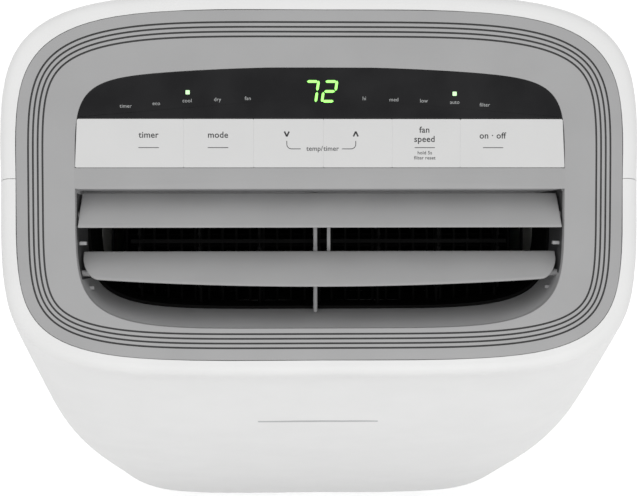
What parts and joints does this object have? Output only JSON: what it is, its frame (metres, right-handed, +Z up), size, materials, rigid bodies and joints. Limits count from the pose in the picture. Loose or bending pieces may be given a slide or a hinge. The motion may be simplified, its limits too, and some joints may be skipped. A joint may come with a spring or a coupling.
{
  "type": "portable air conditioner",
  "caption": "Floor-standing room air conditioner with a slanted control panel, twin louvre blades, rear intake grilles, round hose outlet and swivel casters",
  "frame": {"origin": "on the floor, centred under the whole object", "axes": "+X to the user's right, -Y towards the user (front), +Z up"},
  "size_m": [0.4775, 0.367, 0.744],
  "materials": {
    "shell_white": "satin white moulded plastic",
    "panel_grey": "fine matte mid-grey plastic",
    "window_black": "glossy smoked black plastic",
    "key_white": "satin off-white plastic",
    "circuit_board": "green solder mask",
    "lamp": "pale green diffusing plastic",
    "recess_grey": "matte grey plastic",
    "duct_black": "matte black plastic",
    "blade_grey": "satin grey plastic",
    "filter_grey": "fine dark mesh in a plastic frame",
    "fin_aluminium": "bare pressed fin stock",
    "copper": "drawn copper tube",
    "zinc_plate": "zinc-plated sheet steel",
    "compressor_black": "black paint on pressed steel",
    "rubber_black": "moulded rubber",
    "inner_plastic": "plain moulded plastic",
    "foam_grey": "expanded foam block",
    "caster_grey": "dark grey nylon",
    "screw_steel": "zinc-plated screws"
  },
  "bodies": {
    "housing": {"front_shell": "shell_white", "rear_shell": "shell_white", "side_handles": "recess_grey", "housing_screws": "screw_steel", "top_panel": "panel_grey", "display_window": "window_black", "display_board": "circuit_board", "display_lamps": "lamp", "outlet_surround": "recess_grey", "outlet_duct": "duct_black", "evaporator_fins": "fin_aluminium", "evaporator_tubes": "copper", "condenser_fins": "fin_aluminium", "condenser_tubes": "copper", "blower_casing": "inner_plastic", "blower_motor": "zinc_plate", "base_pan": "zinc_plate", "cord_gland": "duct_black", "compressor": "compressor_black", "compressor_mounts": "rubber_black", "refrigerant_lines": "copper", "partition": "inner_plastic", "exhaust_scroll": "inner_plastic", "exhaust_fan_motor": "zinc_plate", "exhaust_duct": "inner_plastic", "exhaust_collar": "shell_white", "control_box": "zinc_plate"},
    "louvre_upper": {"louvre_upper": "blade_grey"},
    "louvre_lower": {"louvre_lower": "blade_grey"},
    "louvre_link": {"louvre_link": "duct_black"},
    "upper_intake": {"upper_grille": "shell_white", "upper_filter": "filter_grey"},
    "lower_intake": {"lower_grille": "shell_white", "lower_filter": "filter_grey"},
    "blower_wheel": {"blower_wheel": "duct_black"},
    "exhaust_fan_wheel": {"exhaust_fan_wheel": "duct_black"},
    "drain_cap": {"drain_cap": "rubber_black"},
    "vane_rod": {"vane_rod": "duct_black"},
    "vane_1": {"vane_1": "duct_black"},
    "vane_2": {"vane_2": "duct_black"},
    "vane_3": {"vane_3": "duct_black"},
    "vane_4": {"vane_4": "duct_black"},
    "vane_5": {"vane_5": "duct_black"},
    "vane_6": {"vane_6": "duct_black"},
    "vane_7": {"vane_7": "duct_black"},
    "key_timer": {"key_timer": "key_white"},
    "key_mode": {"key_mode": "key_white"},
    "key_temp_down": {"key_temp_down": "key_white"},
    "key_temp_up": {"key_temp_up": "key_white"},
    "key_fan_speed": {"key_fan_speed": "key_white"},
    "key_power": {"key_power": "key_white"},
    "caster_fork_front_left": {"caster_fork_front_left": "caster_grey"},
    "caster_wheel_front_left": {"caster_wheel_front_left": "rubber_black"},
    "caster_fork_front_right": {"caster_fork_front_right": "caster_grey"},
    "caster_wheel_front_right": {"caster_wheel_front_right": "rubber_black"},
    "caster_fork_rear_left": {"caster_fork_rear_left": "caster_grey"},
    "caster_wheel_rear_left": {"caster_wheel_rear_left": "rubber_black"},
    "caster_fork_rear_right": {"caster_fork_rear_right": "caster_grey"},
    "caster_wheel_rear_right": {"caster_wheel_rear_right": "rubber_black"}
  },
  "joints": [
    {"name": "key_timer_press", "type": "slide", "parent": "housing", "child": "key_timer", "axis": [0, 0.3746, -0.9272], "range_m": [0, 0.0008], "stiffness_N_per_m": 800},
    {"name": "key_mode_press", "type": "slide", "parent": "housing", "child": "key_mode", "axis": [0, 0.3746, -0.9272], "range_m": [0, 0.0008], "stiffness_N_per_m": 800},
    {"name": "key_temp_down_press", "type": "slide", "parent": "housing", "child": "key_temp_down", "axis": [0, 0.3746, -0.9272], "range_m": [0, 0.0008], "stiffness_N_per_m": 800},
    {"name": "key_temp_up_press", "type": "slide", "parent": "housing", "child": "key_temp_up", "axis": [0, 0.3746, -0.9272], "range_m": [0, 0.0008], "stiffness_N_per_m": 800},
    {"name": "key_fan_speed_press", "type": "slide", "parent": "housing", "child": "key_fan_speed", "axis": [0, 0.3746, -0.9272], "range_m": [0, 0.0008], "stiffness_N_per_m": 800},
    {"name": "key_power_press", "type": "slide", "parent": "housing", "child": "key_power", "axis": [0, 0.3746, -0.9272], "range_m": [0, 0.0008], "stiffness_N_per_m": 800},
    {"name": "louvre_upper_tilt", "type": "hinge", "parent": "housing", "child": "louvre_upper", "pos_m": [0, -0.05404, 0.67323], "axis": [1, 0, 0], "range_deg": [-25, 25]},
    {"name": "louvre_lower_tilt", "type": "hinge", "parent": "housing", "child": "louvre_lower", "pos_m": [0, -0.09419, 0.65701], "axis": [1, 0, 0], "range_deg": [-25, 25]},
    {"name": "louvre_link_pivot", "type": "hinge", "parent": "louvre_upper", "child": "louvre_link", "pos_m": [0.0064, -0.05473, 0.65893], "axis": [1, 0, 0], "range_deg": [-25, 25]},
    {"name": "vane_1_swing", "type": "hinge", "parent": "housing", "child": "vane_1", "pos_m": [-0.1395, -0.05197, 0.61151], "axis": [0, 0.9272, 0.3746], "range_deg": [-30, 30]},
    {"name": "vane_2_swing", "type": "hinge", "parent": "housing", "child": "vane_2", "pos_m": [-0.093, -0.05197, 0.61151], "axis": [0, 0.9272, 0.3746], "range_deg": [-30, 30]},
    {"name": "vane_3_swing", "type": "hinge", "parent": "housing", "child": "vane_3", "pos_m": [-0.0465, -0.05197, 0.61151], "axis": [0, 0.9272, 0.3746], "range_deg": [-30, 30]},
    {"name": "vane_4_swing", "type": "hinge", "parent": "housing", "child": "vane_4", "pos_m": [0, -0.05197, 0.61151], "axis": [0, 0.9272, 0.3746], "range_deg": [-30, 30]},
    {"name": "vane_5_swing", "type": "hinge", "parent": "housing", "child": "vane_5", "pos_m": [0.0465, -0.05197, 0.61151], "axis": [0, 0.9272, 0.3746], "range_deg": [-30, 30]},
    {"name": "vane_6_swing", "type": "hinge", "parent": "housing", "child": "vane_6", "pos_m": [0.093, -0.05197, 0.61151], "axis": [0, 0.9272, 0.3746], "range_deg": [-30, 30]},
    {"name": "vane_7_swing", "type": "hinge", "parent": "housing", "child": "vane_7", "pos_m": [0.1395, -0.05197, 0.61151], "axis": [0, 0.9272, 0.3746], "range_deg": [-30, 30]},
    {"name": "vane_rod_pivot", "type": "hinge", "parent": "vane_4", "child": "vane_rod", "pos_m": [0, -0.05647, 0.62264], "axis": [0, 0.9272, 0.3746], "range_deg": [-30, 30]},
    {"name": "upper_intake_pull", "type": "slide", "parent": "housing", "child": "upper_intake", "axis": [0, 1, 0], "range_m": [0, 0.09]},
    {"name": "lower_intake_pull", "type": "slide", "parent": "housing", "child": "lower_intake", "axis": [0, 1, 0], "range_m": [0, 0.05]},
    {"name": "blower_spin", "type": "hinge", "parent": "housing", "child": "blower_wheel", "pos_m": [0, -0.046, 0.512], "axis": [1, 0, 0], "continuous": true},
    {"name": "exhaust_fan_spin", "type": "hinge", "parent": "housing", "child": "exhaust_fan_wheel", "pos_m": [-0.075, -0.0575, 0.195], "axis": [0, 1, 0], "continuous": true},
    {"name": "drain_cap_pull", "type": "slide", "parent": "housing", "child": "drain_cap", "axis": [0, 1, 0], "range_m": [0, 0.03]},
    {"name": "caster_front_left_swivel", "type": "hinge", "parent": "housing", "child": "caster_fork_front_left", "pos_m": [-0.16, -0.112, 0.057], "axis": [0, 0, 1], "continuous": true},
    {"name": "caster_front_left_roll", "type": "hinge", "parent": "caster_fork_front_left", "child": "caster_wheel_front_left", "pos_m": [-0.16, -0.1, 0.0155], "axis": [1, 0, 0], "continuous": true},
    {"name": "caster_front_right_swivel", "type": "hinge", "parent": "housing", "child": "caster_fork_front_right", "pos_m": [0.16, -0.112, 0.057], "axis": [0, 0, 1], "continuous": true},
    {"name": "caster_front_right_roll", "type": "hinge", "parent": "caster_fork_front_right", "child": "caster_wheel_front_right", "pos_m": [0.16, -0.1, 0.0155], "axis": [1, 0, 0], "continuous": true},
    {"name": "caster_rear_left_swivel", "type": "hinge", "parent": "housing", "child": "caster_fork_rear_left", "pos_m": [-0.16, 0.106, 0.057], "axis": [0, 0, 1], "continuous": true},
    {"name": "caster_rear_left_roll", "type": "hinge", "parent": "caster_fork_rear_left", "child": "caster_wheel_rear_left", "pos_m": [-0.16, 0.118, 0.0155], "axis": [1, 0, 0], "continuous": true},
    {"name": "caster_rear_right_swivel", "type": "hinge", "parent": "housing", "child": "caster_fork_rear_right", "pos_m": [0.16, 0.106, 0.057], "axis": [0, 0, 1], "continuous": true},
    {"name": "caster_rear_right_roll", "type": "hinge", "parent": "caster_fork_rear_right", "child": "caster_wheel_rear_right", "pos_m": [0.16, 0.118, 0.0155], "axis": [1, 0, 0], "continuous": true}
  ],
  "couplings": [
    {"joint": "louvre_lower_tilt", "follows": "louvre_upper_tilt", "ratio": 1},
    {"joint": "louvre_link_pivot", "follows": "louvre_upper_tilt", "ratio": -1},
    {"joint": "vane_1_swing", "follows": "vane_4_swing", "ratio": 1},
    {"joint": "vane_2_swing", "follows": "vane_4_swing", "ratio": 1},
    {"joint": "vane_3_swing", "follows": "vane_4_swing", "ratio": 1},
    {"joint": "vane_5_swing", "follows": "vane_4_swing", "ratio": 1},
    {"joint": "vane_6_swing", "follows": "vane_4_swing", "ratio": 1},
    {"joint": "vane_7_swing", "follows": "vane_4_swing", "ratio": 1},
    {"joint": "vane_rod_pivot", "follows": "vane_4_swing", "ratio": -1}
  ]
}
